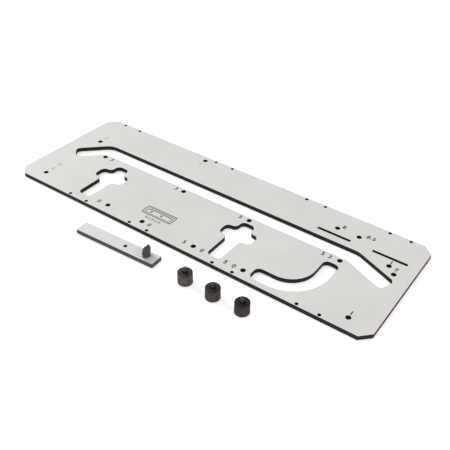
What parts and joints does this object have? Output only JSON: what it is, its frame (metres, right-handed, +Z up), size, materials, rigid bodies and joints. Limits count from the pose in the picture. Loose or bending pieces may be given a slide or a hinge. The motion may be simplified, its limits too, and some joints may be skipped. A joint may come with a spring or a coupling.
{
  "type": "worktop jointing router template",
  "caption": "Flat router template for jointing worktops, with a bent guide slot, bolt-recess cut-outs and peg holes, and a loose stop bar and location pegs.",
  "frame": {"origin": "centre of the board's underside", "axes": "+X along the board's length towards the scribe arm of the guide slot, +Y towards the far long edge, +Z up"},
  "size_m": [0.72, 0.3127, 0.028],
  "materials": {
    "plate_laminate": "satin",
    "bar_laminate": "satin",
    "zinc_steel": "satin",
    "knob_plastic": "satin",
    "brass": "satin",
    "peg_plastic": "matte",
    "pin_steel": "satin"
  },
  "bodies": {
    "board": {"template_plate": "plate_laminate"},
    "stop_bar": {"stop_bar": "bar_laminate", "clamp_screw": "zinc_steel"},
    "clamp_washer": {"clamp_washer": "zinc_steel"},
    "wing_knob": {"wing_knob": "knob_plastic", "knob_insert": "brass"},
    "peg_1": {"peg_1_body": "peg_plastic", "peg_1_pin": "pin_steel"},
    "peg_2": {"peg_2_body": "peg_plastic", "peg_2_pin": "pin_steel"},
    "peg_3": {"peg_3_body": "peg_plastic", "peg_3_pin": "pin_steel"}
  },
  "joints": [
    {"name": "bar_lift", "type": "slide", "parent": "board", "child": "stop_bar", "axis": [0, 0, 1], "range_m": [0, 0.04]},
    {"name": "knob_rise", "type": "slide", "parent": "stop_bar", "child": "clamp_washer", "axis": [0, 0, 1], "range_m": [0, 0.0155]},
    {"name": "knob_turn", "type": "hinge", "parent": "clamp_washer", "child": "wing_knob", "pos_m": [-0.00786, -0.16952, 0.01], "axis": [0, 0, 1], "range_deg": [0, 7920]},
    {"name": "peg_1_lift", "type": "slide", "parent": "board", "child": "peg_1", "axis": [0, 0, 1], "range_m": [0, 0.04]},
    {"name": "peg_2_lift", "type": "slide", "parent": "board", "child": "peg_2", "axis": [0, 0, 1], "range_m": [0, 0.04]},
    {"name": "peg_3_lift", "type": "slide", "parent": "board", "child": "peg_3", "axis": [0, 0, 1], "range_m": [0, 0.04]}
  ],
  "couplings": [
    {"joint": "knob_rise", "follows": "knob_turn", "m_per_rad": 0.00011141}
  ]
}
